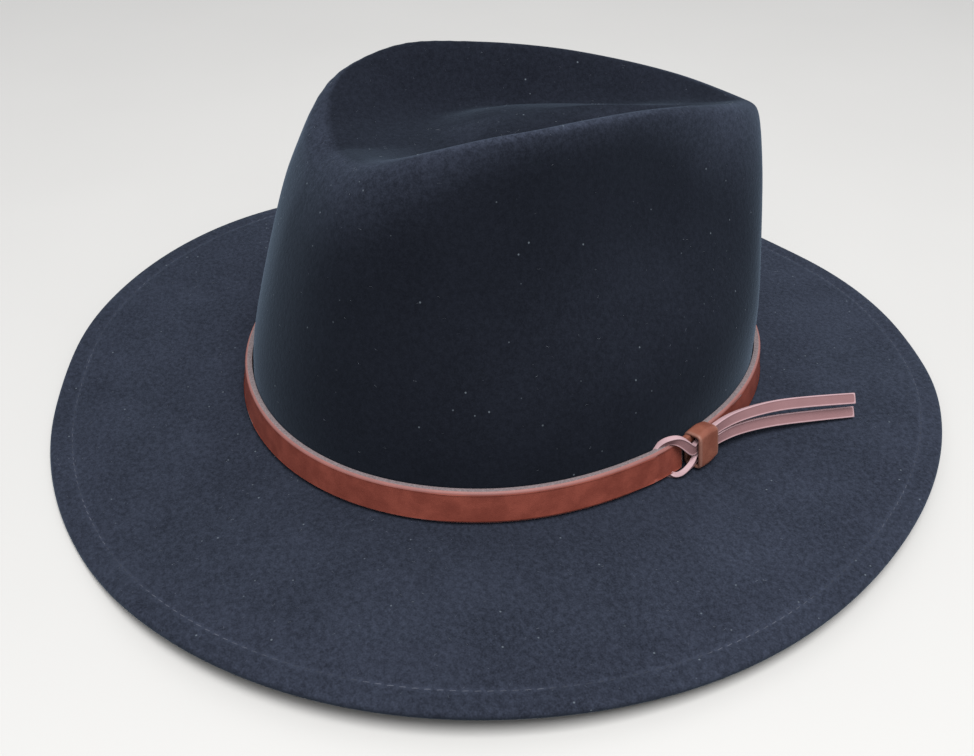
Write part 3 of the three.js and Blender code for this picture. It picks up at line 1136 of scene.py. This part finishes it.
# Middle lines of the laces in the knot's frame, a row for each place: the distance forward from
# the keeper's middle, outward from it and up from it in mm, and the twist of the lace in degrees.
LACE_ROWS: dict[Level, list[Row]] = {
    Level.UPPER: [
        (-21.0, -5.2, 3.6, 0),
        (-19.6, -5.1, 4.9, 0),
        (-18.0, -4.7, 6.3, 0),
        (-16.5, -3.7, 7.5, 10),
        (-15.2, -2.4, 8.0, 20),
        (-13.9, -1.1, 8.0, 25),
        (-12.5, 0.0, 7.1, 25),
        (-10.9, 0.8, 5.2, 20),
        (-9.2, 1.2, 3.0, 10),
        (-7.4, 1.1, 1.2, 0),
        (-4.5, 0.6, 1.3, 0),
        (0.0, 0.0, 2.15, 0),
        (6.5, 0.0, 2.4, 0),
        (11.1, 0.4, 2.6, -8),
        (17.3, 1.4, 2.6, -16),
        (26.2, 4.2, 2.1, -22),
        (35.8, 8.3, 1.2, -25),
        (48.2, 15.3, -0.8, -25),
        (61.6, 23.2, -3.3, -25),
    ],
    Level.LOWER: [
        (-15.8, -4.4, -5.9, 0),
        (-15.0, -2.8, -6.5, 20),
        (-13.9, -1.0, -6.4, 35),
        (-12.5, 0.2, -5.7, 40),
        (-11.0, 0.8, -4.9, 35),
        (-9.2, 1.1, -4.2, 30),
        (-7.2, 0.9, -3.7, 20),
        (-5.0, 0.5, -3.0, 8),
        (0.0, 0.0, -2.15, 0),
        (6.5, 0.0, -2.15, 0),
        (11.1, 0.35, -2.3, -8),
        (17.3, 1.35, -2.75, -16),
        (26.2, 4.1, -3.8, -22),
        (35.8, 8.2, -5.2, -25),
        (48.2, 15.1, -7.1, -25),
        (61.8, 23.0, -9.2, -25),
    ],
}


def smoothed(line: list[Vector]) -> list[Vector]:
    """An open line with its corners cut off, ends kept."""
    for _ in range(3):
        inner = [
            start.lerp(end, share) for start, end in zip(line, line[1:]) for share in (0.25, 0.75)
        ]
        line = [line[0], *inner[1:-1], line[-1]]
    return line


@dataclass
class Lace:
    """A flat lace from the strap through the keeper to its tail, with creased borders."""

    knot: Knot
    level: Level
    width: float = 4.1 * MM
    thickness: float = 1.9 * MM
    rim: float = 0.28 * MM
    border: float = 0.62 * MM
    crease_width: float = 0.16 * MM
    crease_depth: float = 0.16 * MM
    step: float = 1.1 * MM
    loop_width: float = 0.66
    loop_length: float = 24 * MM

    def build(self) -> bpy.types.Object:
        """Builds and dresses the lace.

        Returns:
            The finished piece.
        """
        rows = LACE_ROWS[self.level]
        places = [self.knot.place(MM * run, MM * out, MM * rise) for run, out, rise, _ in rows]
        line = Line(smoothed(places))
        twists = smoothed([Vector((math.radians(twist), 0)) for *_, twist in rows])
        name = f"lace_{self.level.value}"
        piece = self._strip(f"{name}_leather", line.length)
        for corner in piece.data.vertices:
            run = corner.co.x + line.length / 2
            index, share = line.find(run)
            ahead = line.ahead(index).lerp(line.ahead(index + 1), share).normalized()
            twist = twists[index].lerp(twists[index + 1], share).x
            side = Matrix.Rotation(twist, 3, ahead) @ ahead.cross(self.knot.out).normalized()
            across = side.cross(ahead)
            middle = line.places[index].lerp(line.places[index + 1], share)
            grown = min(max(run, 0) / self.loop_length, 1)
            narrow = self.loop_width + (1 - self.loop_width) * grown
            corner.co = middle + corner.co.y * across - corner.co.z * narrow * side
        piece.data.materials.append(LACE_LEATHER.material())
        subdivide_smoothly(piece, 1)
        settle(piece, "lace", name)
        return piece

    def _strip(self, name: str, length: float) -> bpy.types.Object:
        """The straight strip, with its length along x and its width along z."""
        piece = new_block(name, Vector((length, self.thickness, self.width)))
        with Editing(piece) as edit:
            edit.select(Kind.EDGE, lambda edge: edge.calc_length() > 5 * MM)
            bpy.ops.mesh.subdivide(number_cuts=round(length / self.step))
            edit.select(Kind.EDGE, lambda edge: edge.calc_face_angle(0) > math.radians(50))
            bpy.ops.mesh.bevel(offset=self.rim, segments=2, affect="EDGES")
            edit.mark("rim", 1)
            edit.select(Kind.FACE, lambda face: abs(face.normal.y) > 0.95)
            bpy.ops.mesh.inset(thickness=self.border - self.rim)
            edit.mark("rim", 0)
            bpy.ops.mesh.region_to_loop()
            bpy.ops.mesh.bevel(offset=self.crease_width, segments=2, affect="EDGES")
            bpy.ops.mesh.select_mode(type="VERT")
            bpy.ops.mesh.select_less()
            bpy.ops.transform.shrink_fatten(value=-self.crease_depth)
            edit.mark("crease", 1)
        return piece


@dataclass
class Lint:
    """Stray fibres that lie on the felt."""

    outline: Outline
    felt: Surface
    count: int = 1500
    shortest: float = 0.25 * MM
    longest: float = 1.1 * MM
    girth: float = 0.06 * MM
    edge_clear: float = 1 * MM
    seed: int = 11

    def build(self) -> bpy.types.Object:
        """Builds and dresses the fibres.

        Returns:
            The finished piece.
        """
        chance = random.Random(self.seed)
        reach = [max(abs(corner[axis]) for corner in self.outline.corners) for axis in (0, 1)]
        places = []
        while len(places) < self.count:
            spot = Vector((chance.uniform(-reach[0], reach[0]), chance.uniform(-reach[1], reach[1])))
            if self.outline.depth(spot) < self.edge_clear:
                continue
            place, normal = self.felt.below(spot, Surface.over_crown)
            angle = chance.uniform(0, math.tau)
            ahead = Vector((math.cos(angle), math.sin(angle), 0))
            if abs(normal.dot(ahead)) > 0.9:
                continue
            length = chance.uniform(self.shortest, self.longest)
            turned = laid(place, normal, ahead, -0.3 * self.girth)
            places.append(turned @ Matrix.Diagonal((length, length, self.girth * 8, 1)))
        piece = joined_copies(self._fibre(), places, "lint")
        piece.data.materials.append(LINT_FIBRE.material())
        settle(piece, "felt")
        return piece

    def _fibre(self) -> bpy.types.Object:
        """One bent fibre of length one, its height in eighths of its girth."""
        bpy.ops.object.select_all(action="DESELECT")
        bpy.ops.mesh.primitive_cylinder_add(
            vertices=3, radius=0.5, depth=1, end_fill_type="NOTHING", rotation=(0, math.pi / 2, 0)
        )
        fibre = bpy.context.object
        bpy.ops.object.transform_apply(location=False, rotation=True, scale=False)
        with Editing(fibre) as edit:
            bpy.ops.mesh.select_all(action="SELECT")
            bpy.ops.transform.resize(value=(1, 0.045, 0.12), center_override=(0, 0, 0))
            edit.select(Kind.EDGE, lambda edge: edge.calc_length() > 0.5)
            bpy.ops.mesh.subdivide(number_cuts=3)
            for share, shift in ((0.4, 0.1), (0.2, 0.04)):
                edit.select(Kind.VERT, lambda corner: abs(corner.co.x) > share)
                bpy.ops.transform.translate(value=(0, shift, 0))
        return fibre


# The studio


@dataclass
class Studio:
    """A pale floor, a soft light above the camera's side, and the camera of the photo."""

    camera_place: Vector = Vector((-0.3101, 0.1419, 0.2435))
    azimuth: float = math.radians(-113.229)
    elevation: float = math.radians(35.747)
    roll: float = math.radians(1.335)
    lens: float = 38.81
    floor_size: float = 8.0
    light_place: Vector = Vector((-0.52, 0.08, 1.28))
    light_size: float = 0.8
    light_power: float = 30.0
    sky: Colour = (0.97, 0.98, 1.0)
    sky_strength: float = 0.8

    def build(self) -> None:
        """Builds the floor, the lights and the camera."""
        self._floor()
        self._lights()
        self._camera()
        bpy.context.scene.view_settings.view_transform = "Standard"

    def _floor(self) -> None:
        """Adds the floor."""
        bpy.ops.object.select_all(action="DESELECT")
        bpy.ops.mesh.primitive_plane_add(size=self.floor_size)
        floor = bpy.context.object
        floor.name = "floor"
        floor.data.materials.append(FloorFinish().material())

    def _lights(self) -> None:
        """Adds the large light and the pale surroundings."""
        data = bpy.data.lights.new("window_light", "AREA")
        data.shape = "SQUARE"
        data.size = self.light_size
        data.energy = self.light_power
        light = bpy.data.objects.new("window_light", data)
        light.location = self.light_place
        light.rotation_euler = (-self.light_place).to_track_quat("-Z", "Y").to_euler()
        bpy.context.scene.collection.objects.link(light)
        world = bpy.data.worlds.new("pale_room")
        world.use_nodes = True
        background = world.node_tree.nodes["Background"]
        background.inputs["Color"].default_value = (*self.sky, 1)
        background.inputs["Strength"].default_value = self.sky_strength
        bpy.context.scene.world = world

    def _camera(self) -> None:
        """Adds the camera."""
        level = Vector((math.cos(self.azimuth), math.sin(self.azimuth), 0))
        back = Vector(
            (
                math.sin(self.azimuth) * math.cos(self.elevation),
                -math.cos(self.azimuth) * math.cos(self.elevation),
                math.sin(self.elevation),
            )
        )
        upright = back.cross(level)
        right = level * math.cos(self.roll) + upright * math.sin(self.roll)
        up = upright * math.cos(self.roll) - level * math.sin(self.roll)
        data = bpy.data.cameras.new("camera")
        data.lens = self.lens
        data.sensor_width = 36
        camera = bpy.data.objects.new("camera", data)
        turned = Matrix((right, up, back)).transposed().to_4x4()
        turned.translation = self.camera_place
        camera.matrix_world = turned
        bpy.context.scene.collection.objects.link(camera)
        bpy.context.scene.camera = camera


def main() -> None:
    """Builds the hat from the felt outwards, then the studio."""
    logging.basicConfig(level=logging.INFO, format="%(name)s %(message)s")
    outline = Outline("felt_body")
    felt = Surface(FeltHat(outline).build())
    HemSeam(outline, felt).build()
    knot = Knot.of("band_keeper")
    Strap(knot).build()
    Keeper(knot).build()
    StrapTip(knot).build()
    for level in Level:
        Lace(knot, level).build()
    Lint(outline, felt).build()
    Studio().build()


if __name__ == "__main__":
    main()
